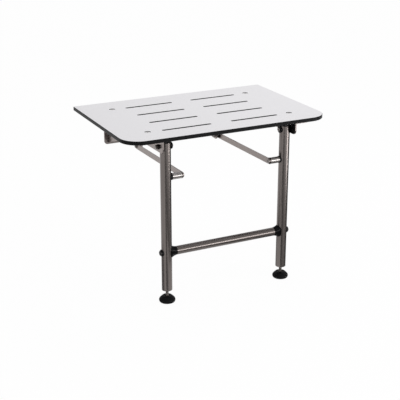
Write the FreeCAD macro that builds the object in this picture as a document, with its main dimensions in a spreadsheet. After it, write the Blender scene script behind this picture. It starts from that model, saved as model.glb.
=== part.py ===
import FreeCAD, Part
import math
import os
import re
import Sketcher

# A wall-hung shower seat that folds up, with a pair of swing-down legs.
# The origin is the middle of the wall bolt pattern on the wall face: +X to the right as seen from
# the front, +Y into the wall, +Z up. Every piece is modelled on the +X side first.

os.makedirs("parts", exist_ok=True)
doc = FreeCAD.newDocument("fold_up_shower_seat")

SIZES = {
    # seat board
    "seat_width": "560",
    "seat_depth": "375",
    "seat_thick": "10",
    "seat_height": "444",
    "front_corner": "50",
    "rear_corner": "4",
    "edge_break": "1",
    "wall_gap": "15",
    "pattern_drop": "84",
    # drain slots, as distances from the middle and from the front edge
    "slot_start": "27.7",
    "slot_inset": "118.5",
    "slot_width": "8.5",
    "slot_setback": "65.1",
    "slot_rear": "76.8",
    "slot_rows": "4",
    # countersunk seat screws
    "screw_inset": "81.7",
    "screw_setback": "67.7",
    "screw_rear": "73.6",
    "sunk_head_r": "7.75",
    "sunk_recess": "0.9",
    "sunk_gap": "0.15",
    "sunk_rim": "0.5",
    "screw_tail": "2",
    # M8 hardware of the seat hinges, the seat screws, the brace and the feet
    "shank_r": "4",
    "hole_gap": "0.2",
    "run_gap": "0.05",
    "play": "0.2",
    "fit_gap": "0.1",
    "nut_across": "13",
    "nut_height": "8",
    "nut_break": "0.8",
    "washer_r": "8",
    "washer_thick": "1.6",
    "head_r": "7",
    "head_height": "4",
    "head_round": "2.4",
    "socket_across": "5",
    "socket_depth": "2.2",
    # M6 hardware of the leg pivots and the link bars
    "slim_shank_r": "3",
    "slim_nut_across": "10",
    "slim_nut_height": "6",
    "slim_head_r": "5.25",
    "slim_head_height": "3.3",
    "slim_head_round": "1.9",
    "slim_socket_across": "4",
    "slim_socket_depth": "1.8",
    "slim_tail": "1",
    # legs
    "tube_r": "13.5",
    "tube_wall": "1.5",
    "leg_inset": "112.9",
    "leg_setback": "35",
    "leg_top_drop": "21",
    "leg_end_gap": "33",
    "cap_height": "4",
    "cap_round": "1.5",
    "cap_stem": "6",
    # pivots
    "pivot_drop": "30",
    "link_drop": "80",
    "hinge_out": "68",
    "hinge_drop": "6",
    "saddle_r": "9",
    "arm_gap": "2",
    "inner_saddle": "2.6",
    # seat arms, bent from one angle
    "arm_wall": "3.2",
    "arm_depth": "32",
    "arm_shelf": "36",
    "arm_setback": "8",
    "arm_corner": "12",
    "arm_end_r": "13",
    "arm_end_share": "0.98",
    "shelf_corner": "5",
    "shelf_stop": "8",
    "arm_bend": "1.5",
    "bush_wall": "1.2",
    "bush_flange_r": "8.6",
    "bush_flange": "1.5",
    "pivot_flange_r": "6.5",
    "pad_edge": "0.6",
    "pad_reach": "12",
    # wall brackets, welded from plate
    "bracket_wall": "3.5",
    "ear_gap": "2",
    "ear_r": "13",
    "ear_top_share": "0.95",
    "ear_root_drop": "56",
    "ear_nose_drop": "60",
    "ear_lift": "4",
    "ear_round": "8",
    "plate_lip": "9.7",
    "hole_pitch": "40",
    "hole_spread": "32",
    "plate_margin": "16",
    "plate_corner": "8",
    "wall_hole_r": "4.5",
    "weld_size": "1.8",
    # link bars
    "bar_height": "14.5",
    "bar_wall": "3",
    "bar_gap": "0.8",
    "bar_ear_gap": "4.4",
    "pin_saddle": "2.4",
    "spacer_r": "8.25",
    "spacer_length": "26.2",
    "spacer_break": "0.6",
    "journal_r": "4",
    "pin_play": "0.25",
    "pin_head_r": "6.6",
    "pin_head": "1",
    "pin_socket": "0.7",
    "insert_r": "5",
    "insert_length": "11",
    # brace between the legs
    "brace_lift": "135.6",
    "brace_r": "11",
    "plug_length": "26.1",
    "plug_wrap": "8",
    "plug_rim": "2.1",
    "plug_flare": "10",
    "plug_waist_share": "0.38",
    "plug_waist_swell": "1.8",
    "brace_stem": "20",
    "brace_washer": "1.2",
    "brace_nut_length": "12",
    # levelling feet
    "foot_r": "23",
    "foot_base_r": "19",
    "foot_height": "16.5",
    "foot_rim": "6",
    "foot_top_r": "12.5",
    "foot_edge": "2",
    "foot_belly": "7",
    "foot_shoulder": "5",
    "ball_height": "9",
    "ball_r": "4.6",
    "cup_r": "6.2",
    "cup_mouth": "3.2",
    "neck_r": "2.4",
    "neck_length": "5.5",
    "mouth_slope": "2",
    "stud_grip": "26",
    "end_insert": "20",
    "end_recess": "0.5",
    "overrun": "5",
}

# Places worked out from the driving sizes
PLACES = {
    "front_y": "-(wall_gap + seat_depth)",
    "rear_y": "-wall_gap",
    "top_z": "pattern_drop",
    "under_z": "top_z - seat_thick",
    "floor_z": "top_z - seat_height",
    "leg_x": "seat_width / 2 - leg_inset",
    "screw_x": "seat_width / 2 - screw_inset",
    "screw_pitch": "seat_depth - screw_setback - screw_rear",
    "slot_end": "seat_width / 2 - slot_inset",
    "slot_pitch": "(seat_depth - slot_setback - slot_rear) / (slot_rows - 1)",
    "leg_y": "front_y + leg_setback",
    "leg_top_z": "top_z - leg_top_drop",
    "leg_end_z": "floor_z + leg_end_gap",
    "bore_r": "tube_r - tube_wall",
    "stem_r": "bore_r - fit_gap",
    "hinge_y": "-hinge_out",
    "pivot_z": "top_z - pivot_drop",
    "link_z": "pivot_z - link_drop",
    "hinge_z": "pivot_z - hinge_drop",
    "swing_z": "link_z - hinge_drop",
    "brace_z": "floor_z + brace_lift",
    "brace_half": "leg_x - plug_length",
    "brace_bore_r": "brace_r - tube_wall",
    "brace_stem_r": "brace_bore_r - fit_gap",
    "arm_in": "leg_x + tube_r + arm_gap",
    "arm_out": "arm_in + arm_wall",
    "ear_out": "arm_in - ear_gap",
    "ear_in": "ear_out - bracket_wall",
    "plate_out": "ear_out + plate_lip",
    "pin_saddle_x": "leg_x - tube_r - pin_saddle",
    "spacer_end": "pin_saddle_x - spacer_length",
    "bar_out": "spacer_end - bar_gap",
    "bar_in": "bar_out - bar_wall",
    "low_ear_out": "bar_in - bar_ear_gap",
    "low_ear_in": "low_ear_out - bracket_wall",
    "plate_middle": "(low_ear_out + ear_in) / 2",
    "plate_half": "hole_pitch / 2 + plate_margin",
    "arm_under": "under_z - arm_depth",
    "shelf_under": "under_z - arm_wall",
    "bush_r": "shank_r + run_gap + bush_wall",
    "slim_bush_r": "slim_shank_r + run_gap + bush_wall",
    "pin_bush_r": "journal_r + pin_play + bush_wall",
    "ball_z": "floor_z + ball_height",
}

sizes = doc.addObject("Spreadsheet::Sheet", "sizes")
places = doc.addObject("Spreadsheet::Sheet", "places")


def spell(text, sheets=((SIZES, "sizes."), (PLACES, "places."))):
    """Writes each size or place named in a formula with its sheet's name before it."""
    for names, lead in sheets:
        pattern = r"(?<![\w.])(" + "|".join(sorted(names, key=len, reverse=True)) + r")(?!\w)"
        text = re.sub(pattern, lead + r"\1", text)
    return text


for row, (alias, text) in enumerate(SIZES.items(), 1):
    sizes.set(f"A{row}", alias)
    sizes.set(f"B{row}", text)
    sizes.setAlias(f"B{row}", alias)
doc.recompute()
for row, (alias, text) in enumerate(PLACES.items(), 1):
    places.set(f"A{row}", alias)
    places.set(f"B{row}", "=" + spell(text, ((SIZES, "sizes."),)))
    places.setAlias(f"B{row}", alias)
doc.recompute()

ALONG = {
    "x": FreeCAD.Rotation(FreeCAD.Vector(0, 1, 0), 90),
    "z": FreeCAD.Rotation(),
}
DOWN = FreeCAD.Rotation(FreeCAD.Vector(0, 1, 0), 90)
UPRIGHT = FreeCAD.Rotation(FreeCAD.Vector(0, 1, 0), -90)
LATHE = {"x": FreeCAD.Rotation(), "z": UPRIGHT}
SAME_PLACE = 1e-4


def number(text):
    """The value that a formula has now."""
    return float(sizes.evalExpression(spell(text)))


def bind(piece, **formulas):
    """Ties properties of a piece to formulas on the sheets."""
    for name, text in formulas.items():
        piece.setExpression(name, spell(text))


def place(piece, at, rotation=None):
    """Ties a piece's position to three formulas, after turning it."""
    if rotation:
        piece.Placement.Rotation = rotation
    for letter, text in zip("xyz", at):
        if text != "0":
            piece.setExpression("Placement.Base." + letter, spell(text))


def locate(sketch, curve, spot, at):
    """Fixes a point of a sketch at two formulas from the sketch's origin."""
    for kind, text in zip(("DistanceX", "DistanceY"), at):
        index = sketch.addConstraint(Sketcher.Constraint(kind, -1, 1, curve, spot, number(text)))
        sketch.setExpression(f"Constraints[{index}]", spell(text))


def sketch_on(body, role, lift="0"):
    """An empty sketch on one of a body's own origin planes, raised along the plane's normal."""
    sketch = body.newObject("Sketcher::SketchObject", body.Name + "_sketch")
    plane = next(item for item in body.Origin.OriginFeatures if item.Role == role)
    sketch.AttachmentSupport = [(plane, "")]
    sketch.MapMode = "FlatFace"
    if lift != "0":
        sketch.setExpression("AttachmentOffset.Base.z", spell(lift))
    return sketch


def outline(sketch, points):
    """A closed outline of straight lines through points given as pairs of formulas."""
    first = sketch.GeometryCount
    spots = [FreeCAD.Vector(number(across), number(up), 0) for across, up in points]
    for start, end in zip(spots, spots[1:] + spots[:1]):
        sketch.addGeometry(Part.LineSegment(start, end))
    for index, point in enumerate(points):
        following = first + (index + 1) % len(points)
        sketch.addConstraint(Sketcher.Constraint("Coincident", first + index, 2, following, 1))
        locate(sketch, first + index, 1, point)


def ring(sketch, centre, radius):
    """A circle at a pair of formulas."""
    middle = FreeCAD.Vector(number(centre[0]), number(centre[1]), 0)
    up = FreeCAD.Vector(0, 0, 1)
    curve = sketch.addGeometry(Part.Circle(middle, up, number(radius)))
    locate(sketch, curve, 3, centre)
    index = sketch.addConstraint(Sketcher.Constraint("Radius", curve, number(radius)))
    sketch.setExpression(f"Constraints[{index}]", spell(radius))


def stadium(sketch, start, end, radius):
    """A slot outline with round ends, its end centres at two points of the sketch."""
    r = number(radius)
    left = FreeCAD.Vector(number(start[0]), number(start[1]), 0)
    right = FreeCAD.Vector(number(end[0]), number(end[1]), 0)
    up = FreeCAD.Vector(0, 0, 1)
    along = (right - left).normalize()
    rise = up.cross(along) * r
    lean = math.atan2(along.y, along.x)
    quarter = math.pi / 2
    first = sketch.GeometryCount
    sketch.addGeometry(Part.ArcOfCircle(Part.Circle(left, up, r), lean + quarter, lean + 3 * quarter))
    sketch.addGeometry(Part.LineSegment(left - rise, right - rise))
    sketch.addGeometry(Part.ArcOfCircle(Part.Circle(right, up, r), lean - quarter, lean + quarter))
    sketch.addGeometry(Part.LineSegment(right + rise, left + rise))
    for one, two in ((0, 1), (1, 2), (2, 3), (3, 0)):
        join = Sketcher.Constraint("Tangent", first + one, 2, first + two, 1)
        sketch.addConstraint(join)
    locate(sketch, first, 3, start)
    locate(sketch, first + 2, 3, end)
    index = sketch.addConstraint(Sketcher.Constraint("Radius", first, r))
    sketch.setExpression(f"Constraints[{index}]", spell(radius))


def pad(body, sketch, length, backwards=False):
    """Raises a sketch into a solid plate."""
    feature = body.newObject("PartDesign::Pad", body.Name + "_pad")
    feature.Profile = sketch
    feature.Reversed = backwards
    bind(feature, Length=length)
    doc.recompute()
    return feature


def cut_through(body, sketch):
    """Cuts a sketch right through the body, and makes sure that it took something away."""
    before = body.Tip.Shape.Volume
    feature = body.newObject("PartDesign::Pocket", body.Name + "_cut")
    feature.Profile = sketch
    feature.Type = "ThroughAll"
    feature.Midplane = True
    doc.recompute()
    if feature.Shape.Volume >= before:
        raise RuntimeError(body.Label + ": a cut took nothing away")
    return feature


def edges(shape, test):
    """Names the edges of a shape whose box centre and box pass a test."""
    return [f"Edge{index}" for index, edge in enumerate(shape.Edges, 1) if test(edge.BoundBox)]


def round_edges(body, radius, test, kind="Fillet"):
    """Rounds or bevels the edges of a body's last feature that pass a test."""
    base = body.Tip
    names = edges(base.Shape, test)
    if not names:
        raise RuntimeError(body.Label + ": no edge to round")
    feature = body.newObject("PartDesign::" + kind, body.Name + "_" + kind.lower())
    feature.Base = (base, names)
    bind(feature, **{"Radius" if kind == "Fillet" else "Size": radius})
    doc.recompute()
    return feature


def near(value, text):
    """Whether a measured place lies on a formula's value."""
    return abs(value - number(text)) < SAME_PLACE


def runs(box, along):
    """Whether an edge's box is a straight line along one axis."""
    spans = {"x": box.XLength, "y": box.YLength, "z": box.ZLength}
    return all((span > SAME_PLACE) == (axis == along) for axis, span in spans.items())


def circle_at(box, start):
    """Whether an edge's box is a ring round a turned piece, at a place along its axis."""
    return box.XLength < SAME_PLACE and near(box.XMin, start)


def lathe(label, profile, at, along="x"):
    """A turned piece: the profile's points are (distance along the axis, radius)."""
    body = doc.addObject("PartDesign::Body", label)
    sketch = sketch_on(body, "XY_Plane")
    outline(sketch, profile)
    turn = body.newObject("PartDesign::Revolution", label + "_turn")
    turn.Profile = sketch
    turn.ReferenceAxis = (sketch, ["H_Axis"])
    turn.Angle = 360
    place(body, at, LATHE[along])
    doc.recompute()
    return body


def rod(label, radius, length, at, along="x"):
    """A plain cylinder that starts at a place and runs along one axis."""
    piece = doc.addObject("Part::Cylinder", label)
    bind(piece, Radius=radius, Height=length)
    place(piece, at, ALONG[along])
    return piece


def hexagon(label, across, height, at, along="x"):
    """A hexagonal bar given by its width across flats."""
    piece = doc.addObject("Part::Prism", label)
    piece.Polygon = 6
    bind(piece, Circumradius=f"({across}) / sqrt(3)", Height=height)
    place(piece, at, ALONG[along])
    return piece


def cut(label, base, *tools):
    """One solid with the tools taken out of it."""
    tool = tools[0]
    if len(tools) > 1:
        tool = doc.addObject("Part::MultiFuse", label + "_tools")
        tool.Shapes = list(tools)
    piece = doc.addObject("Part::Cut", label)
    piece.Base = base
    piece.Tool = tool
    doc.recompute()
    return piece


def mirrored(label, source):
    """The same piece on the -X side."""
    piece = doc.addObject("Part::Mirroring", label)
    piece.Source = source
    piece.Normal = FreeCAD.Vector(1, 0, 0)
    return piece


nodes = []


def keep(piece, label):
    """Marks a finished piece as a sub-part with its own name."""
    piece.Label = label
    nodes.append(piece)
    return piece


def sides(name, piece):
    """A piece on the right and its twin on the left, each a sub-part of its own."""
    twin = mirrored(name + "_twin", piece)
    keep(piece, "right_" + name)
    keep(twin, "left_" + name)


def group(name, pieces):
    """Like pieces and their twins on the -X side, as one sub-part of separate solids."""
    bundle = doc.addObject("Part::Compound", name + "_set")
    bundle.Links = list(pieces) + [mirrored(f"{piece.Name}_twin", piece) for piece in pieces]
    keep(bundle, name)


def hex_nut(label, start, at_y, at_z, along="x", lead=""):
    """A hexagon nut with bevelled corners, from start outwards along the axis."""
    height = lead + "nut_height"
    across_flats = lead + "nut_across"
    corner = f"{across_flats} / sqrt(3)"
    spot = {"x": (start, at_y, at_z), "z": (at_y, at_z, start)}[along]
    bar = hexagon(label + "_bar", across_flats, height, spot, along)
    shape = [
        ("0", "0"),
        ("0", f"{corner} - nut_break"),
        ("nut_break", corner),
        (f"{height} - nut_break", corner),
        (height, f"{corner} - nut_break"),
        (height, "0"),
    ]
    barrel = lathe(label + "_barrel", shape, spot, along)
    block = doc.addObject("Part::MultiCommon", label + "_block")
    block.Shapes = [bar, barrel]
    bore = rod(label + "_bore", f"{lead}shank_r + fit_gap", height, spot, along)
    return cut(label, block, bore)


def socket_screw(label, head_at, at_y, at_z, reach, outward=True, lead="", head_r="head_r",
                 head="head_height", rounding="head_round", depth="socket_depth"):
    """A low round-headed screw along X: its head's inner face is at head_at, reach is its shank."""
    shank = lead + "shank_r"
    top = f"({head})" if outward else f"-({head})"
    tip = f"-({reach})" if outward else f"({reach})"
    shape = [
        (top, "0"),
        (top, head_r),
        ("0", head_r),
        ("0", shank),
        (tip, shank),
        (tip, "0"),
    ]
    body = lathe(label + "_blank", shape, (head_at, at_y, at_z))
    round_edges(body, rounding, lambda box: circle_at(box, top) and near(box.YMax, head_r))
    start = f"{head_at} + {head} - {depth}" if outward else f"{head_at} - ({head}) - overrun"
    key = hexagon(label + "_key", lead + "socket_across", f"{depth} + overrun",
                  (start, at_y, at_z))
    return cut(label, body, key)


def slim_screw(label, head_at, at_y, at_z, reach, outward=True):
    """The M6 size of the same screw."""
    return socket_screw(label, head_at, at_y, at_z, reach, outward, "slim_", "slim_head_r",
                        "slim_head_height", "slim_head_round", "slim_socket_depth")


def washer(label, start, length, radius, bore, at_y, at_z):
    """A flat ring along X."""
    shape = [("0", bore), ("0", radius), (length, radius), (length, bore)]
    return lathe(label, shape, (start, at_y, at_z))


def saddle(label, side, thick, radius, at_z, bore="shank_r + hole_gap"):
    """A round washer whose one face is hollowed to sit on the leg's tube, thick at its middle."""
    start = f"leg_x + tube_r + {thick}" if side == "out" else f"leg_x - tube_r - ({thick})"
    length = f"tube_r + {thick}"
    origin = "leg_x" if side == "out" else start
    disc = rod(label + "_disc", radius, length, (origin, "leg_y", at_z))
    tube = rod(label + "_tube", "tube_r + fit_gap", "4 * saddle_r",
               ("leg_x", "leg_y", f"{at_z} - 2 * saddle_r"), "z")
    hole = rod(label + "_hole", bore, length, (origin, "leg_y", at_z))
    return cut(label, disc, tube, hole)


# Seat board: compact laminate with a black core, bevelled edges and four rows of drain slots
board = doc.addObject("PartDesign::Body", "board")
plan = sketch_on(board, "XY_Plane", "under_z")
outline(plan, [
    ("-seat_width / 2", "front_y"),
    ("seat_width / 2", "front_y"),
    ("seat_width / 2", "rear_y"),
    ("-seat_width / 2", "rear_y"),
])
pad(board, plan, "seat_thick")
round_edges(board, "front_corner", lambda box: runs(box, "z") and near(box.YMin, "front_y"))
round_edges(board, "rear_corner", lambda box: runs(box, "z") and near(box.YMin, "rear_y"))
round_edges(board, "edge_break", lambda box: box.ZLength < SAME_PLACE, "Chamfer")
drains = sketch_on(board, "XY_Plane", "under_z")
for line in range(int(number("slot_rows"))):
    level = f"front_y + slot_setback + {line} * slot_pitch"
    near_end = "slot_start + slot_width / 2"
    far_end = "slot_end - slot_width / 2"
    stadium(drains, (near_end, level), (far_end, level), "slot_width / 2")
    stadium(drains, (f"-({far_end})", level), (f"-({near_end})", level), "slot_width / 2")
cut_through(board, drains)
sink = [
    ("-overrun", "0"),
    ("-overrun", "sunk_head_r + sunk_gap"),
    ("sunk_recess + sunk_rim", "sunk_head_r + sunk_gap"),
    ("sunk_recess + sunk_rim + sunk_head_r - shank_r", "shank_r + sunk_gap"),
    ("seat_thick + overrun", "shank_r + sunk_gap"),
    ("seat_thick + overrun", "0"),
]
sinks = []
screws = []
screw_washers = []
screw_nuts = []
for spot in range(2):
    screw_y = f"front_y + screw_setback + {spot} * screw_pitch"
    tool = lathe(f"screw_sink_{spot}", sink, ("screw_x", screw_y, "top_z"))
    tool.Placement.Rotation = DOWN
    sinks += [tool, mirrored(f"screw_sink_{spot}_twin", tool)]
    stack = "seat_thick + arm_wall + washer_thick"
    tip = f"{stack} + nut_height + screw_tail"
    blank = lathe(f"seat_screw_{spot}_blank", [
        ("sunk_recess", "0"),
        ("sunk_recess", "sunk_head_r"),
        ("sunk_recess + sunk_rim", "sunk_head_r"),
        ("sunk_recess + sunk_rim + sunk_head_r - shank_r", "shank_r"),
        (tip, "shank_r"),
        (tip, "0"),
    ], ("screw_x", screw_y, "top_z"))
    blank.Placement.Rotation = DOWN
    key = hexagon(f"seat_screw_{spot}_key", "socket_across", "socket_depth + overrun",
                  ("screw_x", screw_y, "top_z - sunk_recess - socket_depth"), "z")
    screws.append(cut(f"seat_screw_{spot}", blank, key))
    ring_shape = [("0", "shank_r + hole_gap"), ("0", "washer_r"),
                  ("washer_thick", "washer_r"), ("washer_thick", "shank_r + hole_gap")]
    screw_washers.append(lathe(f"seat_washer_{spot}", ring_shape,
                               ("screw_x", screw_y, "shelf_under - washer_thick"), "z"))
    screw_nuts.append(hex_nut(f"seat_nut_{spot}", "shelf_under - washer_thick - nut_height",
                              "screw_x", screw_y, along="z"))
keep(cut("drilled_board", board, *sinks), "seat_board")
group("seat_screws", screws)
group("seat_screw_washers", screw_washers)
group("seat_screw_nuts", screw_nuts)

# Seat arms: a stainless angle under each side of the board, upright leg inboard, shelf outboard
arm = doc.addObject("PartDesign::Body", "arm")
web = sketch_on(arm, "YZ_Plane")
outline(web, [
    ("front_y + arm_setback", "under_z"),
    ("front_y + arm_setback", "arm_under"),
    ("hinge_y - arm_end_r", "arm_under - hinge_drop"),
    ("hinge_y + arm_end_r", "arm_under - hinge_drop"),
    ("hinge_y + arm_end_r", "under_z"),
])
ring(web, ("leg_y", "pivot_z"), "slim_bush_r + fit_gap")
ring(web, ("hinge_y", "hinge_z"), "bush_r + fit_gap")
pad(arm, web, "arm_wall")
shelf = sketch_on(arm, "XY_Plane", "shelf_under")
outline(shelf, [
    ("0", "front_y + arm_setback"),
    ("arm_shelf", "front_y + arm_setback"),
    ("arm_shelf", "hinge_y - shelf_stop"),
    ("0", "hinge_y - shelf_stop"),
])
for spot in range(2):
    level = f"front_y + screw_setback + {spot} * screw_pitch"
    ring(shelf, ("screw_x - arm_in", level), "shank_r + hole_gap")
pad(arm, shelf, "arm_wall")


def arm_front(box):
    return runs(box, "x") and near(box.ZMin, "arm_under") and near(box.YMin, "front_y + arm_setback")


def arm_rear(box):
    return runs(box, "x") and near(box.YMin, "hinge_y + arm_end_r")


def shelf_end(box):
    return runs(box, "z") and near(box.XMin, "arm_shelf")


def inner_bend(box):
    return runs(box, "y") and near(box.XMin, "arm_wall") and near(box.ZMin, "shelf_under")


round_edges(arm, "arm_corner", arm_front)
round_edges(arm, "arm_end_r * arm_end_share", arm_rear)
round_edges(arm, "shelf_corner", shelf_end)
round_edges(arm, "arm_bend", inner_bend)
place(arm, ("arm_in", "0", "0"))
sides("seat_arm", arm)

# Wear pads: flat black plates on the arms' inner faces, between each arm and its leg
wear_pad = doc.addObject("PartDesign::Body", "wear_pad")
pad_front = "front_y + arm_setback + pad_edge"
pad_under = "arm_under + pad_edge"
pad_side = sketch_on(wear_pad, "YZ_Plane")
outline(pad_side, [
    (pad_front, "under_z - pad_edge"),
    (pad_front, pad_under),
    ("leg_y + pad_reach", pad_under),
    ("leg_y + pad_reach", "under_z - pad_edge"),
])
ring(pad_side, ("leg_y", "pivot_z"), "slim_shank_r + hole_gap")
pad(wear_pad, pad_side, "arm_gap - play")


def pad_corner(box):
    return runs(box, "x") and near(box.ZMin, pad_under)


round_edges(wear_pad, "arm_corner - pad_edge", pad_corner)
place(wear_pad, ("arm_in - arm_gap + play", "0", "0"))
group("leg_wear_pads", [wear_pad])

# Flanged bushes in the arms: the front flanges show outside each arm, the rear ones face the ears
bush = [
    ("-arm_wall", "slim_shank_r + run_gap"),
    ("-arm_wall", "slim_bush_r"),
    ("0", "slim_bush_r"),
    ("0", "pivot_flange_r"),
    ("bush_flange", "pivot_flange_r"),
    ("bush_flange", "slim_shank_r + run_gap"),
]
group("leg_pivot_bushes", [lathe("leg_pivot_bush", bush, ("arm_out", "leg_y", "pivot_z"))])
hinge_bush = [
    ("play - ear_gap", "shank_r + run_gap"),
    ("play - ear_gap", "bush_flange_r"),
    ("0", "bush_flange_r"),
    ("0", "bush_r"),
    ("arm_wall", "bush_r"),
    ("arm_wall", "shank_r + run_gap"),
]
group("seat_hinge_bushes", [lathe("seat_hinge_bush", hinge_bush, ("arm_in", "hinge_y", "hinge_z"))])

# Wall brackets: a plate a side with two welded ears, a tall one for the arm and a low one for the link
bracket = doc.addObject("PartDesign::Body", "bracket")
plate = sketch_on(bracket, "XZ_Plane")
outline(plate, [
    ("low_ear_in - plate_middle", "-plate_half"),
    ("plate_out - plate_middle", "-plate_half"),
    ("plate_out - plate_middle", "plate_half"),
    ("low_ear_in - plate_middle", "plate_half"),
])
for side in ("-", ""):
    for level in ("-", ""):
        ring(plate, (f"{side}hole_spread / 2", f"{level}hole_pitch / 2"), "wall_hole_r")
pad(bracket, plate, "bracket_wall")


def free_corner(box):
    outer = near(box.XMin, "plate_out - plate_middle")
    return runs(box, "y") and (outer or near(box.ZMin, "plate_half"))


round_edges(bracket, "plate_corner", free_corner)
tall_ear = sketch_on(bracket, "YZ_Plane", "ear_in - plate_middle")
outline(tall_ear, [
    ("hinge_y - ear_r", "hinge_z + ear_r"),
    ("hinge_y - ear_r", "pivot_z - ear_nose_drop"),
    ("0", "ear_lift - plate_half"),
    ("0", "pivot_z - ear_root_drop"),
    ("hinge_y + ear_r", "pivot_z - ear_root_drop"),
    ("hinge_y + ear_r", "hinge_z + ear_r"),
])
ring(tall_ear, ("hinge_y", "hinge_z"), "shank_r + hole_gap")
pad(bracket, tall_ear, "bracket_wall")
low_ear = sketch_on(bracket, "YZ_Plane", "low_ear_in - plate_middle")
outline(low_ear, [
    ("hinge_y - ear_r", "pivot_z - ear_root_drop"),
    ("hinge_y - ear_r", "-plate_half - hinge_drop"),
    ("0", "-plate_half"),
    ("0", "pivot_z - ear_root_drop"),
])
ring(low_ear, ("hinge_y", "swing_z"), "slim_shank_r + hole_gap")
pad(bracket, low_ear, "bracket_wall")


def ear_top(box):
    return runs(box, "x") and near(box.ZMin, "hinge_z + ear_r")


def ear_waist(box):
    low = near(box.ZMin, "pivot_z - ear_root_drop")
    return runs(box, "x") and low and near(box.YMin, "hinge_y + ear_r")


def ear_front(box):
    low = box.ZMin < number("pivot_z - ear_root_drop + play")
    return runs(box, "x") and low and near(box.YMin, "hinge_y - ear_r")


def weld_line(box):
    places_across = ("low_ear_out", "ear_in", "ear_out")
    beside = any(near(box.XMin, f"{spot} - plate_middle") for spot in places_across)
    return runs(box, "z") and beside and near(box.YMin, "-bracket_wall")


round_edges(bracket, "ear_r * ear_top_share", ear_top)
round_edges(bracket, "ear_round", ear_waist)
round_edges(bracket, "ear_round", ear_front)
round_edges(bracket, "weld_size", weld_line)
place(bracket, ("plate_middle", "0", "0"))
sides("wall_bracket", bracket)

# Seat hinge: a bolt through the arm's bush and the tall ear, with its nut inboard of the ear
hinge_reach = "play + arm_wall + ear_gap + bracket_wall + nut_height + screw_tail"
group("seat_hinge_bolts",
      [socket_screw("seat_hinge_bolt", "arm_out + play", "hinge_y", "hinge_z", hinge_reach)])
group("seat_hinge_nuts",
      [hex_nut("seat_hinge_nut", "ear_in - nut_height", "hinge_y", "hinge_z")])

# Leg tubes, drilled for the pivot bolt, the link pin's insert and the brace bolt
leg_length = "leg_top_z - leg_end_z"
across = "2 * tube_r + 2 * overrun"
outer = rod("leg_outer", "tube_r", leg_length, ("leg_x", "leg_y", "leg_end_z"), "z")
inner = rod("leg_inner", "bore_r", leg_length, ("leg_x", "leg_y", "leg_end_z"), "z")
drills = [
    rod("leg_drill_pivot", "slim_shank_r + hole_gap", across,
        ("leg_x - tube_r - overrun", "leg_y", "pivot_z")),
    rod("leg_drill_pin", "insert_r + fit_gap", "tube_r + overrun",
        ("leg_x - tube_r - overrun", "leg_y", "link_z")),
    rod("leg_drill_brace", "shank_r + hole_gap", across,
        ("leg_x - tube_r - overrun", "leg_y", "brace_z")),
]
sides("leg_tube", cut("leg_tube", outer, inner, *drills))

# Caps pressed into the tops of the legs
cap = lathe("leg_cap", [
    ("-cap_stem", "0"),
    ("-cap_stem", "stem_r"),
    ("0", "stem_r"),
    ("0", "tube_r"),
    ("cap_height", "tube_r"),
    ("cap_height", "0"),
], ("leg_x", "leg_y", "leg_top_z"), "z")
round_edges(cap, "cap_round", lambda box: circle_at(box, "cap_height"))
group("leg_caps", [cap])

# Leg pivots: bolt, lock nut outside the arm, and a hollowed washer inboard of the tube
bolt_head = "leg_x - tube_r - inner_saddle"
nut_start = "arm_out + bush_flange + play"
pivot_reach = f"{nut_start} + slim_nut_height + slim_tail - ({bolt_head})"
group("leg_pivot_bolts", [slim_screw("leg_pivot_bolt", bolt_head, "leg_y", "pivot_z",
                                     pivot_reach, outward=False)])
group("leg_pivot_nuts", [hex_nut("leg_pivot_nut", nut_start, "leg_y", "pivot_z", lead="slim_")])
group("leg_pivot_saddles", [saddle("pivot_saddle", "in", "inner_saddle", "saddle_r", "pivot_z",
                                   "slim_shank_r + hole_gap")])

# Link pins: a turned spacer with a journal for the bar, screwed to an insert in the leg's wall
group("link_pin_saddles", [saddle("pin_saddle", "in", "pin_saddle", "saddle_r", "link_z",
                                  "slim_shank_r + hole_gap")])
pin_tail = "bar_gap + bar_wall + play"
spacer = lathe("link_pin_spacer", [
    (f"-({pin_tail})", "slim_shank_r + fit_gap"),
    (f"-({pin_tail})", "journal_r"),
    ("0", "journal_r"),
    ("0", "spacer_r"),
    ("spacer_length", "spacer_r"),
    ("spacer_length", "slim_shank_r + fit_gap"),
], ("spacer_end", "leg_y", "link_z"))
round_edges(spacer, "spacer_break",
            lambda box: box.XLength < SAME_PLACE and near(box.YMax, "spacer_r"), "Chamfer")
group("link_pin_spacers", [spacer])
pin_reach = "play + bar_wall + bar_gap + spacer_length + pin_saddle + insert_length"
group("link_pin_screws", [socket_screw("link_pin_screw", "bar_in - play", "leg_y", "link_z",
                                       pin_reach, False, "slim_", "pin_head_r", "pin_head",
                                       "spacer_break", "pin_socket")])
insert_bar = rod("insert_bar", "insert_r", "insert_length + overrun",
                 ("leg_x - tube_r - overrun", "leg_y", "link_z"))
insert_face = rod("insert_face", "tube_r", "4 * saddle_r",
                  ("leg_x", "leg_y", "link_z - 2 * saddle_r"), "z")
insert_whole = doc.addObject("Part::MultiCommon", "insert_whole")
insert_whole.Shapes = [insert_bar, insert_face]
insert_bore = rod("insert_bore", "slim_shank_r + fit_gap", "insert_length + 2 * overrun",
                  ("leg_x - tube_r - overrun", "leg_y", "link_z"))
group("link_pin_inserts", [cut("link_pin_insert", insert_whole, insert_bore)])

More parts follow.
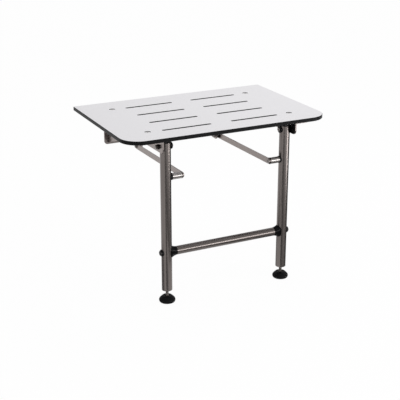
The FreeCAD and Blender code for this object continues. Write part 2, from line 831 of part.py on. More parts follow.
# Link bars: flat stainless bars that keep the legs upright as the seat folds
bar = doc.addObject("PartDesign::Body", "bar")
side_view = sketch_on(bar, "YZ_Plane")
stadium(side_view, ("leg_y", "link_z"), ("hinge_y", "swing_z"), "bar_height / 2")
ring(side_view, ("leg_y", "link_z"), "pin_bush_r + fit_gap")
ring(side_view, ("hinge_y", "swing_z"), "slim_bush_r + fit_gap")
pad(bar, side_view, "bar_wall")
place(bar, ("bar_in", "0", "0"))
sides("link_bar", bar)
front_bush = lathe("link_front_bush", [
    ("0", "journal_r + pin_play"),
    ("0", "pin_bush_r"),
    ("bar_wall", "pin_bush_r"),
    ("bar_wall", "bush_flange_r"),
    ("bar_wall + bar_gap - play", "bush_flange_r"),
    ("bar_wall + bar_gap - play", "journal_r + pin_play"),
], ("bar_in", "leg_y", "link_z"))
sides("link_front_bush", front_bush)
rear_bush = lathe("link_rear_bush", [
    ("play - bar_ear_gap", "slim_shank_r + run_gap"),
    ("play - bar_ear_gap", "bush_flange_r"),
    ("0", "bush_flange_r"),
    ("0", "slim_bush_r"),
    ("bar_wall", "slim_bush_r"),
    ("bar_wall", "slim_shank_r + run_gap"),
], ("bar_in", "hinge_y", "swing_z"))
sides("link_rear_bush", rear_bush)

# Wall pivots of the link bars: a bolt through the bar and the low ear, with its nut inboard
link_reach = "play + bar_wall + bar_ear_gap + bracket_wall + slim_nut_height + slim_tail"
group("link_wall_bolts",
      [slim_screw("link_wall_bolt", "bar_out + play", "hinge_y", "swing_z", link_reach)])
group("link_wall_nuts",
      [hex_nut("link_wall_nut", "low_ear_in - slim_nut_height", "hinge_y", "swing_z", lead="slim_")])

# Brace: a straight tube between plugs that flare out round the legs, bolted from outside
brace_length = "2 * brace_half"
brace_outer = rod("brace_outer", "brace_r", brace_length, ("-brace_half", "leg_y", "brace_z"))
brace_inner = rod("brace_inner", "brace_bore_r", brace_length, ("-brace_half", "leg_y", "brace_z"))
keep(cut("brace", brace_outer, brace_inner), "brace_tube")
mouth = "leg_x - plug_wrap"
waist = f"brace_half + plug_waist_share * ({mouth} - brace_half)"
flare = doc.addObject("Part::Loft", "brace_plug_flare")
rings = []
for name, at_x, tall, deep in (
    ("start", "brace_half", "brace_r", "brace_r"),
    ("waist", waist, "brace_r + plug_waist_swell", "brace_r + plug_waist_swell / 4"),
    ("mouth", mouth, "brace_r + plug_flare", "sqrt(tube_r ^ 2 - plug_wrap ^ 2) + plug_rim"),
):
    loop = doc.addObject("Part::Ellipse", "brace_plug_" + name)
    bind(loop, MajorRadius=tall, MinorRadius=deep)
    place(loop, (at_x, "leg_y", "brace_z"), UPRIGHT)
    rings.append(loop)
doc.recompute()
flare.Sections = rings
flare.Solid = True
stem = rod("brace_plug_stem", "brace_stem_r", "brace_stem + plug_length / 2",
           ("brace_half - brace_stem", "leg_y", "brace_z"))
plug = doc.addObject("Part::MultiFuse", "brace_plug_blank")
plug.Shapes = [flare, stem]
cope = rod("brace_plug_cope", "tube_r + fit_gap", "4 * tube_r",
           ("leg_x", "leg_y", "brace_z - 2 * tube_r"), "z")
bolt_way = rod("brace_plug_bore", "shank_r + hole_gap", "brace_stem + plug_length",
               ("brace_half - brace_stem", "leg_y", "brace_z"))
group("brace_plugs", [cut("brace_plug", plug, cope, bolt_way)])
group("brace_saddles", [saddle("brace_saddle", "out", "brace_washer", "saddle_r", "brace_z")])
brace_head = "leg_x + tube_r + brace_washer"
brace_reach = f"{brace_head} - brace_half + brace_stem + brace_nut_length"
group("brace_bolts",
      [socket_screw("brace_bolt", brace_head, "leg_y", "brace_z", brace_reach)])
brace_nut = washer("brace_nut", "brace_half - brace_stem - brace_nut_length", "brace_nut_length",
                   "brace_stem_r", "shank_r + fit_gap", "leg_y", "brace_z")
group("brace_nuts", [brace_nut])

# Threaded plugs in the lower ends of the legs
end_plug = lathe("leg_end_plug", [
    ("end_recess", "shank_r + run_gap"),
    ("end_recess", "stem_r"),
    ("end_insert", "stem_r"),
    ("end_insert", "shank_r + run_gap"),
], ("leg_x", "leg_y", "leg_end_z"), "z")
group("leg_end_plugs", [end_plug])

# Levelling feet: a stud with a ball end, a snap-in cup round the ball, and a broad pad
stud_length = "leg_end_gap - ball_height + stud_grip"
stud_stem = rod("stud_stem", "shank_r", f"{stud_length} - neck_length",
                ("leg_x", "leg_y", "ball_z + neck_length"), "z")
neck = rod("stud_neck", "neck_r", "neck_length", ("leg_x", "leg_y", "ball_z"), "z")
ball = doc.addObject("Part::Sphere", "stud_ball")
bind(ball, Radius="ball_r")
place(ball, ("leg_x", "leg_y", "ball_z"))
stud = doc.addObject("Part::MultiFuse", "stud")
stud.Shapes = [stud_stem, neck, ball]
sides("foot_stud", stud)


def hollow_ball(label, outside, inside, mouth):
    """A ball shell round the stud's ball, cut flat at mouth above the middle."""
    shell = doc.addObject("Part::Sphere", label + "_shell")
    bind(shell, Radius=outside)
    place(shell, ("leg_x", "leg_y", "ball_z"))
    room = doc.addObject("Part::Sphere", label + "_room")
    bind(room, Radius=inside)
    place(room, ("leg_x", "leg_y", "ball_z"))
    lid = rod(label + "_lid", outside, outside, ("leg_x", "leg_y", f"ball_z + {mouth}"), "z")
    return cut(label, shell, room, lid)


sides("foot_cup", hollow_ball("foot_cup", "cup_r", "ball_r + run_gap", "cup_mouth"))
dome = lathe("foot_dome", [
    ("0", "0"),
    ("0", "foot_base_r"),
    ("foot_rim", "foot_r"),
    ("foot_height", "foot_top_r"),
    ("foot_height", "0"),
], ("leg_x", "leg_y", "floor_z"), "z")
round_edges(dome, "foot_shoulder", lambda box: circle_at(box, "foot_height"))
round_edges(dome, "foot_belly", lambda box: circle_at(box, "foot_rim"))
round_edges(dome, "foot_edge", lambda box: circle_at(box, "0"))
dome_room = doc.addObject("Part::Sphere", "foot_room")
bind(dome_room, Radius="cup_r + run_gap")
place(dome_room, ("leg_x", "leg_y", "ball_z"))
mouth_base = "cup_mouth"
mouth_top = "foot_height - ball_height + overrun"
throat = lathe("foot_throat", [
    (mouth_base, "0"),
    (mouth_base, f"sqrt(cup_r * cup_r - {mouth_base} * {mouth_base})"),
    (mouth_top, f"sqrt(cup_r * cup_r - {mouth_base} * {mouth_base}) + mouth_slope"),
    (mouth_top, "0"),
], ("leg_x", "leg_y", "ball_z"), "z")
sides("foot_pad", cut("foot_pad", dome, dome_room, throat))

doc.recompute()
for piece in doc.Objects:
    if "Invalid" in piece.State or "Error" in piece.State:
        raise RuntimeError(f"{piece.Label} did not rebuild: {piece.State}")
for piece in nodes:
    shape = piece.Shape
    if shape.isNull() or not shape.isValid() or not shape.Solids:
        raise RuntimeError(piece.Label + ": no sound solid")
for piece in nodes:
    piece.Shape.exportStep(f"parts/{piece.Label}.step")
    solids = len(piece.Shape.Solids)
    print(f"{piece.Label}: {solids} solid(s), {piece.Shape.Volume / 1000:.2f} cm3")
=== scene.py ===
import math

import bmesh
import bpy
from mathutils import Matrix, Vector


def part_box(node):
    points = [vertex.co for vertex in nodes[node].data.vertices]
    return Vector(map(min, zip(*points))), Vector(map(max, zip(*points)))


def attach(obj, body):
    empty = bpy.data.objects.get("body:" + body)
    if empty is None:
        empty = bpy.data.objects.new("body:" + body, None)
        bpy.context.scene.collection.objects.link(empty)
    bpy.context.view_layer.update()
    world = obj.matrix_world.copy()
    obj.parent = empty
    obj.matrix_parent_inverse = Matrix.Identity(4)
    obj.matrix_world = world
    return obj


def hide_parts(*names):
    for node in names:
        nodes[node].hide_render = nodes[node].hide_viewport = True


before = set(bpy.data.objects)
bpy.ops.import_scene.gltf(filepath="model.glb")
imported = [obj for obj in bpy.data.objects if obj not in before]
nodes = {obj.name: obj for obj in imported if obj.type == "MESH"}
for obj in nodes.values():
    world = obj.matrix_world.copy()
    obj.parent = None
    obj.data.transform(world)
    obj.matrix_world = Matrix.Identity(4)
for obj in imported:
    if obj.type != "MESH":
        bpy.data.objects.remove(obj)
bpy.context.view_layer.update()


# Wall brackets. Each is laser-cut from 3.5 mm stainless plate, brushed with a belt, and has two ears
# welded to its wall plate. The same brushed stainless is used for arms, link bars, legs and brace.
class Field:
    """A value that changes over a surface, worked with like a number."""

    def __init__(self, tree, socket):
        self.tree = tree
        self.socket = socket

    def math(self, operation, *others, swapped=False):
        terms = [self, *others]
        if swapped:
            terms.reverse()
        return self.tree.node("ShaderNodeMath", {"operation": operation}, dict(enumerate(terms)))

    def twin(self, outcome):
        """Another output of the node that this value comes from."""
        return Field(self.tree, self.socket.node.outputs[outcome])

    def __add__(self, other):
        return self.math("ADD", other)

    def __mul__(self, other):
        return self.math("MULTIPLY", other)

    def __rsub__(self, other):
        return self.math("SUBTRACT", other, swapped=True)

    def __gt__(self, other):
        return self.math("GREATER_THAN", other)

    def __lt__(self, other):
        return self.math("LESS_THAN", other)

    __radd__ = __add__
    __rmul__ = __mul__


class Tree:
    """A node tree, to which one method adds nodes of every kind."""

    def __init__(self, tree):
        self.tree = tree

    def node(self, kind, settings=None, sockets=None, outcome=0):
        made = self.tree.nodes.new(kind)
        for name, value in (settings or {}).items():
            setattr(made, name, value)
        for name, value in (sockets or {}).items():
            for given in value if isinstance(value, list) else [value]:
                if isinstance(given, Field):
                    self.connect(given, made.inputs[name])
                else:
                    made.inputs[name].default_value = given
        return Field(self, made.outputs[outcome])

    def connect(self, field, socket):
        self.tree.links.new(field.socket, socket)


class Finish(Tree):
    """One material: a principled shader whose constants are set on its sockets."""

    def __init__(self, name, constants):
        self.material = bpy.data.materials.new(name)
        self.material.use_nodes = True
        super().__init__(self.material.node_tree)
        self.shader = self.tree.nodes["Principled BSDF"]
        for socket, value in constants.items():
            self.shader.inputs[socket].default_value = value
        self.place = self.node("ShaderNodeTexCoord", outcome="Object")

    def feed(self, **links):
        for name, field in links.items():
            self.connect(field, self.shader.inputs[name.replace("_", " ")])

    def stretched(self, scales):
        return self.node("ShaderNodeMapping", sockets={"Vector": self.place, "Scale": scales})

    def noise(self, vector, scale, detail):
        return self.node("ShaderNodeTexNoise", sockets={
            "Vector": vector, "Scale": scale, "Detail": detail, "Roughness": 0.5})

    def blend(self, share, first, second):
        """A mix of two colours, each a link or a plain (red, green, blue)."""
        first, second = (end if isinstance(end, Field) else (*end, 1) for end in (first, second))
        first_colour, second_colour, mixed_colour = 6, 7, 2
        return self.node("ShaderNodeMix", {"data_type": "RGBA"},
                         {"Factor": share, first_colour: first, second_colour: second}, mixed_colour)

    def bump(self, height, strength, distance):
        return self.node("ShaderNodeBump", sockets={
            "Height": height, "Strength": strength, "Distance": distance})


def brushed_stainless(name, along, dark, light, dullness, depth):
    """Stainless steel whose belt marks run along one axis of the seat."""
    drawn_out = 0.03
    finish = Finish(name, {"Metallic": 1.0})
    lengthwise = finish.stretched(tuple(drawn_out if axis == along else 1.0 for axis in "xyz"))
    grain = finish.noise(lengthwise, scale=1900.0, detail=1.0)
    marks = finish.noise(lengthwise, scale=330.0, detail=3.0)
    cloud = finish.noise(finish.place, scale=9.0, detail=3.0)
    tone = grain * 0.25 + marks * 0.45 + cloud * 0.3
    finish.feed(Base_Color=finish.blend(tone, dark, light),
                Roughness=dullness + marks * 0.08 + cloud * 0.05,
                Normal=finish.bump(grain * 0.5 + marks, strength=depth, distance=0.00008))
    return finish.material


def clothe(material, *names):
    for name in names:
        mesh = nodes[name].data
        mesh.materials.clear()
        mesh.materials.append(material)


plate_steel = brushed_stainless("plate_brushed_lengthwise", "y", (0.195, 0.168, 0.158),
                                (0.335, 0.292, 0.278), dullness=0.20, depth=0.12)
clothe(plate_steel, "right_wall_bracket", "left_wall_bracket")


# Weld beads. Short hand-laid welds join the ears to the wall plates: overlapping ripples about a
# millimetre apart and slightly uneven, left with their duller, warmer heat-tinted skin.
class Growth(Tree):
    """A geometry node tree with named inputs, run once on a starting mesh."""

    def __init__(self, name, **inputs):
        group = bpy.data.node_groups.new(name, "GeometryNodeTree")
        super().__init__(group)
        group.interface.new_socket("Geometry", in_out="INPUT", socket_type="NodeSocketGeometry")
        for label, kind in inputs.items():
            group.interface.new_socket(label, in_out="INPUT", socket_type="NodeSocket" + kind)
        group.interface.new_socket("Geometry", in_out="OUTPUT", socket_type="NodeSocketGeometry")
        self.given = group.nodes.new("NodeGroupInput").outputs
        self.outcome = group.nodes.new("NodeGroupOutput").inputs[0]

    def __getitem__(self, label):
        return Field(self, self.given[label])

    def send(self, shape, material):
        real = self.node("GeometryNodeRealizeInstances", sockets={"Geometry": shape})
        dressed = self.node("GeometryNodeSetMaterial", sockets={
            "Geometry": real, "Material": material})
        self.connect(dressed, self.outcome)


def stand(name, data):
    """A new object in the scene, at the origin."""
    thing = bpy.data.objects.new(name, data)
    bpy.context.scene.collection.objects.link(thing)
    return thing


def grow(name, start, growth, body, slot, **values):
    """Runs a growth on a starting mesh and keeps the outcome as a plain piece on a body."""
    seed = stand(name + "_start", start)
    modifier = seed.modifiers.new("growth", "NODES")
    modifier.node_group = growth.tree
    for item in growth.tree.interface.items_tree:
        if item.in_out == "INPUT" and item.name in values:
            modifier[item.identifier] = values[item.name]
    ready = seed.evaluated_get(bpy.context.evaluated_depsgraph_get())
    mesh = bpy.data.meshes.new_from_object(ready)
    mesh.name = name
    seed.modifiers.clear()
    bpy.data.objects.remove(seed)
    build = bmesh.new()
    build.from_mesh(mesh)
    bmesh.ops.recalc_face_normals(build, faces=build.faces)
    for face in build.faces:
        face.smooth = True
    build.to_mesh(mesh)
    build.free()
    piece = stand(name, mesh)
    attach(piece, body)
    return piece


def lines(name, rows):
    """A mesh of loose straight edges, one for each pair of points."""
    mesh = bpy.data.meshes.new(name)
    mesh.from_pydata([spot for row in rows for spot in row],
                     [(2 * index, 2 * index + 1) for index in range(len(rows))], [])
    return mesh


heat = Finish("weld_heat_tinted", {"Metallic": 1.0})
scale = heat.noise(heat.place, scale=700.0, detail=3.0)
stain = heat.noise(heat.place, scale=120.0, detail=2.0)
heat.feed(Base_Color=heat.blend(stain, (0.10, 0.082, 0.068), (0.21, 0.19, 0.18)),
          Roughness=0.30 + scale * 0.25,
          Normal=heat.bump(scale, strength=0.4, distance=0.0001))

weld = Growth("weld_ripples", Spacing="Float", Width="Float")
seam = weld.node("GeometryNodeMeshToCurve", sockets={"Mesh": weld["Geometry"]})
laid = weld.node("GeometryNodeResampleCurve", {"mode": "LENGTH"},
                 {"Curve": seam, "Length": weld["Spacing"]})
drop = weld.node("GeometryNodeMeshIcoSphere", sockets={"Radius": weld["Width"], "Subdivisions": 3})
least, most = (0.85, 0.85, 0.40), (1.0, 1.0, 0.55)
uneven = weld.node("FunctionNodeRandomValue", {"data_type": "FLOAT_VECTOR"},
                   {0: least, 1: most, "Seed": 4})
weld.send(weld.node("GeometryNodeInstanceOnPoints", sockets={
    "Points": laid, "Instance": drop, "Scale": uneven}), heat.material)

# The low ear is the bracket's inner side, and the hinge's nut seats on the tall ear. Ears and plate
# are equally thick, and a bead's middle stands off both by the same small gap.
plate_wall, bead_gap = 0.0035, 0.0006
low_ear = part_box("right_wall_bracket")[0].x
tall_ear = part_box("seat_hinge_nuts")[1].x
low_ear_foot, tall_ear_foot, seam_top = -0.0345, -0.0305, -0.0035
seam_y = -(plate_wall + bead_gap)
seams = ((low_ear + plate_wall + bead_gap, low_ear_foot), (tall_ear - bead_gap, tall_ear_foot),
         (tall_ear + plate_wall + bead_gap, tall_ear_foot))
grow("ear_weld_beads",
     lines("ear_weld_lines", [((side * across, seam_y, foot), (side * across, seam_y, seam_top))
                              for side in (1, -1) for across, foot in seams]),
     weld, "wall_brackets", "brushed_stainless", Spacing=0.0011, Width=0.0013)

# Seat arms. A 3.2 mm stainless angle under each side of the board, folded from one sheet that was
# brushed along its length.
clothe(plate_steel, "right_seat_arm", "left_seat_arm")

# Seat board. Solid compact laminate: a black phenolic core between two thin white satin faces with
# a fine linen grain. Router cuts and bevels show the black core at the rim and in the slots.
laminate = Finish("white_laminate_black_core", {"Specular IOR Level": 0.07})
board_under, board_top = (corner.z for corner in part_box("seat_board"))
skin = 0.00006
height = laminate.node("ShaderNodeSeparateXYZ", sockets={"Vector": laminate.place}, outcome="Z")
face = (height > board_top - skin) + (height < board_under + skin)
weft = laminate.noise(laminate.stretched((0.12, 1.0, 1.0)), scale=1500.0, detail=1.0)
warp = laminate.noise(laminate.stretched((1.0, 0.12, 1.0)), scale=1500.0, detail=1.0)
linen = weft * 0.5 + warp * 0.5
cloudy = laminate.noise(laminate.place, scale=5.0, detail=2.0)
white = laminate.blend(linen * 0.6 + cloudy * 0.4, (0.790, 0.780, 0.800), (0.845, 0.835, 0.855))
saw = laminate.noise(laminate.stretched((1.0, 1.0, 0.1)), scale=500.0, detail=2.0)
core = laminate.blend(saw, (0.003, 0.003, 0.0035), (0.009, 0.009, 0.0095))
laminate.feed(Base_Color=laminate.blend(face, core, white),
              Roughness=0.30 + face * 0.16 + linen * 0.06,
              Normal=laminate.bump(linen * face + saw * (1 - face), strength=0.12, distance=0.00008))
clothe(laminate.material, "seat_board")

# Legs. 27 mm round stainless tube with a 1.5 mm wall, polished lengthwise, so its marks run up and
# down. Each is drilled through for the pivot bolt, the link pin and the brace bolt.
# The legs' tones are the brace's steel made a quarter lighter: painted light, so the legs read lighter
# than the brace.
leg_steel_painted_lighter = brushed_stainless("tube_brushed_upright", "z", (0.120, 0.105, 0.099),
                              (0.225, 0.200, 0.190), dullness=0.18, depth=0.03)
clothe(leg_steel_painted_lighter, "right_leg_tube", "left_leg_tube")

# Brace. A slimmer tube, 22 mm across, laid between the legs and held by a bolt at each end. It was
# polished lengthwise too, so its marks run across the seat.
# The brace's tones are the legs' steel made a fifth darker: painted shade.
brace_steel_painted_darker = brushed_stainless("tube_brushed_across", "x", (0.096, 0.084, 0.079),
                                (0.180, 0.160, 0.152), dullness=0.16, depth=0.02)
clothe(brace_steel_painted_darker, "brace_tube")

# Link bars. Flat 3 mm stainless bars, one inside each leg, brushed along their length. Each swings
# on a flanged bush at both ends, between the leg and the low ear of its wall bracket.
clothe(plate_steel, "right_link_bar", "left_link_bar")


# Bolts, nuts and washers. Turned or pressed stainless with fine lathe marks and the dull patches
# that handling leaves.
def mottled(name, constants, patches, dark, light, roughness, bump, skin=None):
    """A finish whose tone and gloss drift in soft patches, with a fine skin in its bump.

    Patches and skin are (scale, detail), roughness is (least, spread), bump is (strength, distance).
    Where no skin is given, the patches are the bump too.
    """
    finish = Finish(name, constants)
    drift = finish.noise(finish.place, *patches)
    fine = finish.noise(finish.place, *skin) if skin else drift
    dullness, spread = roughness
    finish.feed(Base_Color=finish.blend(drift, dark, light),
                Roughness=dullness + drift * spread,
                Normal=finish.bump(fine, *bump))
    return finish.material


bright = mottled("bright_turned_stainless", {"Metallic": 1.0}, patches=(60.0, 3.0),
                 dark=(0.14, 0.126, 0.118), light=(0.26, 0.24, 0.228), roughness=(0.14, 0.12),
                 bump=(0.05, 0.00003), skin=(2600.0, 1.0))
clothe(bright, "seat_hinge_bolts", "seat_hinge_nuts", "link_wall_bolts", "link_wall_nuts",
       "seat_screw_washers", "seat_screw_nuts", "leg_pivot_bolts", "leg_pivot_nuts",
       "link_pin_screws", "link_pin_inserts", "right_foot_stud", "left_foot_stud")

# Brace bolts. The same turned stainless, chemically blackened, so that their heads go with the black
# plugs and saddles round them.
blackened = mottled("blackened_stainless", {"Metallic": 1.0}, patches=(180.0, 3.0),
                    dark=(0.020, 0.020, 0.021), light=(0.060, 0.058, 0.057), roughness=(0.18, 0.14),
                    bump=(0.05, 0.00003))
clothe(blackened, "brace_bolts", "brace_nuts")

# Spacers. Turned stainless sleeves, brighter than the tubes, on the screws that join the link bars to
# the legs. They hold the bars clear of the legs.
sleeve = mottled("bright_turned_sleeve", {"Metallic": 1.0}, patches=(90.0, 3.0),
                 dark=(0.26, 0.245, 0.235), light=(0.38, 0.36, 0.35), roughness=(0.15, 0.12),
                 bump=(0.05, 0.00003))
clothe(sleeve, "link_pin_spacers")

# Seat screws. Flat-headed socket screws of polished stainless, set just below the board's face. The
# polish is bright enough that the heads hardly show against the white.
polished = mottled("polished_stainless", {"Metallic": 1.0}, patches=(300.0, 3.0),
                   dark=(0.84, 0.83, 0.83), light=(0.94, 0.93, 0.93), roughness=(0.10, 0.14),
                   bump=(0.05, 0.00003))
clothe(polished, "seat_screws")


# Levelling studs. Each is an M8 threaded rod, turned down to a neck and a ball at its foot. It
# screws into the plug in the leg's end. The thread is a ridge wound round the rod, 1.25 mm apart.
def turned(name, centre, outline, sides=40):
    """A closed turned mesh. The outline's (radius, height) points run upwards from pole to pole."""
    x, y = centre
    spots = [(x, y, outline[0][1])]
    for radius, level in outline[1:-1]:
        spots += [(x + radius * math.cos(turn), y + radius * math.sin(turn), level)
                  for turn in (math.tau * step / sides for step in range(sides))]
    spots.append((x, y, outline[-1][1]))
    rings = [[1 + ring * sides + step for step in range(sides)]
             for ring in range(len(outline) - 2)]
    faces = []
    for step in range(sides):
        after = (step + 1) % sides
        faces.append((0, rings[0][after], rings[0][step]))
        faces += [(low[step], low[after], high[after], high[step])
                  for low, high in zip(rings, rings[1:])]
        faces.append((len(spots) - 1, rings[-1][step], rings[-1][after]))
    mesh = bpy.data.meshes.new(name)
    mesh.from_pydata(spots, [], faces)
    return mesh


thread = Growth("wound_thread", Foot="Vector", Length="Float", Turns="Float", Reach="Float",
                Ridge="Float")
helix = thread.node("GeometryNodeCurveSpiral", sockets={
    "Resolution": 28, "Rotations": thread["Turns"], "Start Radius": thread["Reach"],
    "End Radius": thread["Reach"], "Height": thread["Length"]})
lifted = thread.node("GeometryNodeTransform", sockets={
    "Geometry": helix, "Translation": thread["Foot"]})
tooth = thread.node("GeometryNodeCurvePrimitiveCircle", sockets={
    "Resolution": 4, "Radius": thread["Ridge"]})
wound = thread.node("GeometryNodeCurveToMesh", sockets={
    "Curve": lifted, "Profile Curve": tooth, "Fill Caps": True})
thread.send(thread.node("GeometryNodeJoinGeometry", sockets={
    "Geometry": [thread["Geometry"], wound]}), bright)

leg_low, leg_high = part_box("right_leg_tube")
leg_x, leg_y = ((leg_low + leg_high) / 2).xy
stud_foot, stud_top = (corner.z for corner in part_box("right_foot_stud"))
ball_r, neck_r, root_r = 0.0046, 0.0024, 0.0035
neck_rise, neck_length = 0.0040, 0.0015
fillet, shoulder, chamfer = 0.0004, 0.0005, 0.0006
ball_z = stud_foot + ball_r
neck_foot = ball_z + neck_rise
neck_top = neck_foot + neck_length
bends = [math.radians(step) for step in range(-78, 60, 12)]
stud_outline = [(0, stud_foot)]
stud_outline += [(ball_r * math.cos(bend), ball_z + ball_r * math.sin(bend)) for bend in bends]
stud_outline += [(neck_r, neck_foot), (neck_r, neck_top - chamfer), (neck_r + fillet, neck_top),
                 (root_r, neck_top + shoulder), (root_r, stud_top - chamfer),
                 (root_r - chamfer, stud_top), (0, stud_top)]

thread_pitch, thread_runout = 0.00125, 0.0010
ridge, ridge_sink = 0.00055, 0.0001
thread_length = stud_top - neck_top - 2 * thread_runout
thread_turns = round(thread_length / thread_pitch)
hands = ((1, "right"), (-1, "left"))
for side, hand in hands:
    spot = (side * leg_x, leg_y)
    stud = grow(hand + "_threaded_stud", turned(hand + "_stud_core", spot, stud_outline), thread,
                hand + "_foot", "bright_stainless", Foot=(*spot, neck_top + thread_runout),
                Length=thread_length, Turns=float(thread_turns), Reach=root_r - ridge_sink,
                Ridge=ridge)
    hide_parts(hand + "_foot_stud")

# Nylon rings. Each lock nut has a ring of pale nylon pressed into its outer end, which grips the
# bolt's thread and stands a little proud of the steel.
milky = mottled("pale_lock_nut_nylon", {"Specular IOR Level": 0.4}, patches=(260.0, 3.0),
                dark=(0.46, 0.45, 0.42), light=(0.60, 0.59, 0.56), roughness=(0.36, 0.16),
                bump=(0.15, 0.00006))

ring = Growth("pressed_ring", Radius="Float")
axle = ring.node("GeometryNodeMeshToCurve", sockets={"Mesh": ring["Geometry"]})
rim = ring.node("GeometryNodeCurvePrimitiveCircle", sockets={
    "Resolution": 28, "Radius": ring["Radius"]})
ring.send(ring.node("GeometryNodeCurveToMesh", sockets={
    "Curve": axle, "Profile Curve": rim, "Fill Caps": True}), milky)

proud, sunk = 0.00035, 0.0020
ring_r, slim_ring_r = 0.0054, 0.0041
nut_height, slim_nut_height, nut_flats = 0.0080, 0.0060, 0.0130
inward, outward = -1, 1
for row, body, facing, tall, radius in (
        ("seat_hinge", "wall_brackets", inward, nut_height, ring_r),
        ("link_wall", "wall_brackets", inward, slim_nut_height, slim_ring_r),
        ("leg_pivot", "legs", outward, slim_nut_height, slim_ring_r)):
    low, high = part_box(row + "_nuts")
    middle = (low + high) / 2
    open_end = high.x if facing == outward else high.x - tall
    ends = (open_end - facing * sunk, open_end + facing * proud)
    grow(row + "_nut_rings",
         lines(row + "_axles", [tuple((side * end, middle.y, middle.z) for end in ends)
                                for side in (1, -1)]),
         ring, body, "black_nylon", Radius=radius)

low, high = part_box("seat_screw_nuts")
nut_x = high.x - nut_flats / math.sqrt(3)
nut_rows = (low.y + nut_flats / 2, high.y - nut_flats / 2)
grow("seat_screw_nut_rings",
     lines("seat_screw_axles", [tuple((side * nut_x, along, end) for end in (low.z + sunk, low.z - proud))
                                for side in (1, -1) for along in nut_rows]),
     ring, "seat", "black_nylon", Radius=ring_r)

# Bushes, wear pads, saddles and end plugs. Injection-moulded black nylon, which has a fine
# spark-eroded skin.
nylon = mottled("moulded_black_nylon", {"Specular IOR Level": 0.08}, patches=(45.0, 2.0),
                dark=(0.004, 0.004, 0.0045), light=(0.010, 0.010, 0.0105), roughness=(0.24, 0.14),
                bump=(0.15, 0.00006), skin=(2400.0, 2.0))
clothe(nylon, "leg_pivot_bushes", "seat_hinge_bushes", "leg_wear_pads", "link_pin_saddles",
       "brace_saddles", "leg_end_plugs", "right_link_front_bush", "left_link_front_bush",
       "right_link_rear_bush", "left_link_rear_bush", "right_foot_cup", "left_foot_cup")

# Brace plugs, pivot saddles and leg caps. The same black nylon from a polished mould, so these are
# the glossiest black pieces.
gloss = mottled("polished_black_nylon", {"Specular IOR Level": 0.06}, patches=(60.0, 3.0),
                dark=(0.0015, 0.0015, 0.0018), light=(0.004, 0.004, 0.0043), roughness=(0.10, 0.14),
                bump=(0.10, 0.00008), skin=(420.0, 2.0))
clothe(gloss, "brace_plugs", "leg_pivot_saddles", "leg_caps")

# Foot pads. Moulded black rubber domes with a flared rim. Each snaps round the cup that holds the
# ball of its stud, so that it can tilt to suit the floor.
rubber = mottled("moulded_black_rubber", {"Specular IOR Level": 0.06}, patches=(70.0, 3.0),
                 dark=(0.0025, 0.0025, 0.003), light=(0.007, 0.007, 0.0075), roughness=(0.36, 0.16),
                 bump=(0.2, 0.00010), skin=(900.0, 3.0))
clothe(rubber, "right_foot_pad", "left_foot_pad")

# The studio's floor and backdrop. One pale seamless sheet that runs to the horizon. It shows close
# to white to the camera and in the metal, and keeps the object's soft shadow.
floor_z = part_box("left_foot_pad")[0].z


def sheet(name, corners, material):
    mesh = bpy.data.meshes.new(name)
    mesh.from_pydata(corners, [], [range(len(corners))])
    mesh.materials.append(material)
    piece = stand(name, mesh)
    return piece


whiteness = 0.96
pale = Finish("pale_floor", {"Base Color": (0.92, 0.92, 0.925, 1), "Roughness": 0.9,
                             "Specular IOR Level": 0.1})
straight = pale.node("ShaderNodeLightPath", outcome="Is Camera Ray")
glossy = straight.twin("Is Glossy Ray")
clear = straight.twin("Is Transmission Ray")
glow = pale.node("ShaderNodeEmission", sockets={"Color": (1, 1, 1, 1), "Strength": 1.0})
lit = Field(pale, pale.shader.outputs[0])
seen = pale.node("ShaderNodeMixShader", sockets={
    0: (straight + glossy + clear) * whiteness, 1: lit, 2: glow})
pale.connect(seen, pale.tree.nodes["Material Output"].inputs["Surface"])
reach, floor_gap = 30.0, 0.0002
sheet("studio_floor", [(across * reach, along * reach, floor_z - floor_gap)
                       for across, along in ((-1, -1), (1, -1), (1, 1), (-1, 1))], pale.material)

# The studio's surround and lamps. An even white surround, a soft lamp above the rear right, one high
# at the right that shows in no reflection, a large low one far off at the front right, which draws
# the brace's highlight, and a small one near the floor, which draws the right leg's.
world = bpy.data.worlds.new("studio")
bpy.context.scene.world = world
world.use_nodes = True
surround = Tree(world.node_tree)
backdrop = world.node_tree.nodes["Background"]
backdrop.inputs["Color"].default_value = (1, 1, 1, 1)
surround_level = 0.75
seen_straight = surround.node("ShaderNodeLightPath", outcome="Is Camera Ray")
surround.connect(surround_level + seen_straight * (1 - surround_level), backdrop.inputs["Strength"])


def lamp(name, spot, aim, width, height, brightness):
    """A soft box of a given size, whose face is brightness times white."""
    light = bpy.data.lights.new(name, "AREA")
    light.shape = "RECTANGLE"
    light.size = width
    light.size_y = height
    light.energy = math.pi * width * height * brightness
    holder = stand(name, light)
    holder.location = spot
    holder.rotation_euler = (Vector(aim) - Vector(spot)).to_track_quat("-Z", "Y").to_euler()
    return holder


lamp("soft_overhead", spot=(0.5, 0.3, 1.35), aim=(0.1, -0.2, 0),
     width=1.0, height=1.0, brightness=0.9)
high_right = lamp("high_right", spot=(1.3, -1.6, 1.5), aim=(0, -0.2, 0),
                  width=1.3, height=1.0, brightness=1.6)
high_right.visible_glossy = False
lamp("low_card", spot=(1.85, -3.95, floor_z + 0.70), aim=(0, -0.36, floor_z + 0.20),
     width=3.2, height=0.9, brightness=7.0)
lamp("floor_glint", spot=(0.91, -1.03, floor_z + 0.04), aim=(leg_x, leg_y, 0),
     width=0.42, height=0.20, brightness=8.0)

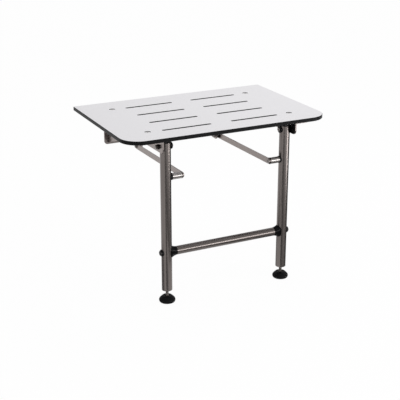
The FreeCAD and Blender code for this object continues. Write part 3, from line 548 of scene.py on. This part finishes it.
# The studio's floor cards. Grey and black slices of a ring, laid flat round each foot. Only
# reflections see them, and they draw the dark line and the shaded flanks of the polished legs.
toward_camera, card_steps = 0.50, 12
card_lift, black_card_lift, black_below = 0.0005, 0.0010, 0.18


def floor_card(name, side, low, high, level, start, end):
    """A slice from start to end of a ring. Its turns, in degrees, count from the camera's side."""
    lift = black_card_lift if level < black_below else card_lift
    turns = [math.radians(low + (high - low) * step / card_steps) - toward_camera
             for step in range(card_steps + 1)]
    corners = [(start, turn) for turn in turns] + [(end, turn) for turn in reversed(turns)]
    tint = Finish(name, {"Base Color": (level, level, level, 1), "Roughness": 0.9,
                         "Specular IOR Level": 0.0})
    card = sheet(name, [(side * leg_x + far * math.sin(turn), leg_y - far * math.cos(turn),
                         floor_z + lift) for far, turn in corners], tint.material)
    for ray in ("camera", "diffuse", "shadow", "transmission"):
        setattr(card, "visible_" + ray, False)


# Each card is (first turn, last turn, level of grey, inner radius, outer radius).
cards = {
    "right": ((-180, -100, 0.75, 0.03, 0.40), (-9, 11, 0.17, 0.08, 1.50), (11, 40, 0.40, 0.03, 1.00),
              (40, 65, 0.55, 0.03, 1.00), (65, 95, 0.36, 0.03, 1.50), (95, 180, 0.18, 0.03, 1.50)),
    "left": ((-130, -55, 0.45, 0.03, 0.35), (-9, 11, 0.16, 0.08, 1.50), (11, 35, 0.60, 0.03, 0.30))}
for side, hand in hands:
    for number, card in enumerate(cards[hand], start=1):
        floor_card(f"{hand}_card_{number}", side, *card)

# The camera. It looks down on the seat from the front left, at the photograph's viewing angle. Its
# lens isn't shifted, so the legs' sides draw together slightly toward the floor.
image_width, focal_pixels, film_width = 400, 965.38, 36
camera_tilt, camera_turn = 0.3553, 0.4598
camera = stand("camera", bpy.data.cameras.new("camera"))
bpy.context.scene.camera = camera
camera.data.sensor_width = film_width
camera.data.lens = focal_pixels / image_width * film_width
camera.data.clip_start = 0.05
camera.data.clip_end = 200
camera.location = (-1.0788, -2.3845, 0.7399)
camera.rotation_euler = (math.pi / 2 - camera_tilt, 0, -camera_turn)
bpy.context.scene.view_settings.view_transform = "Standard"
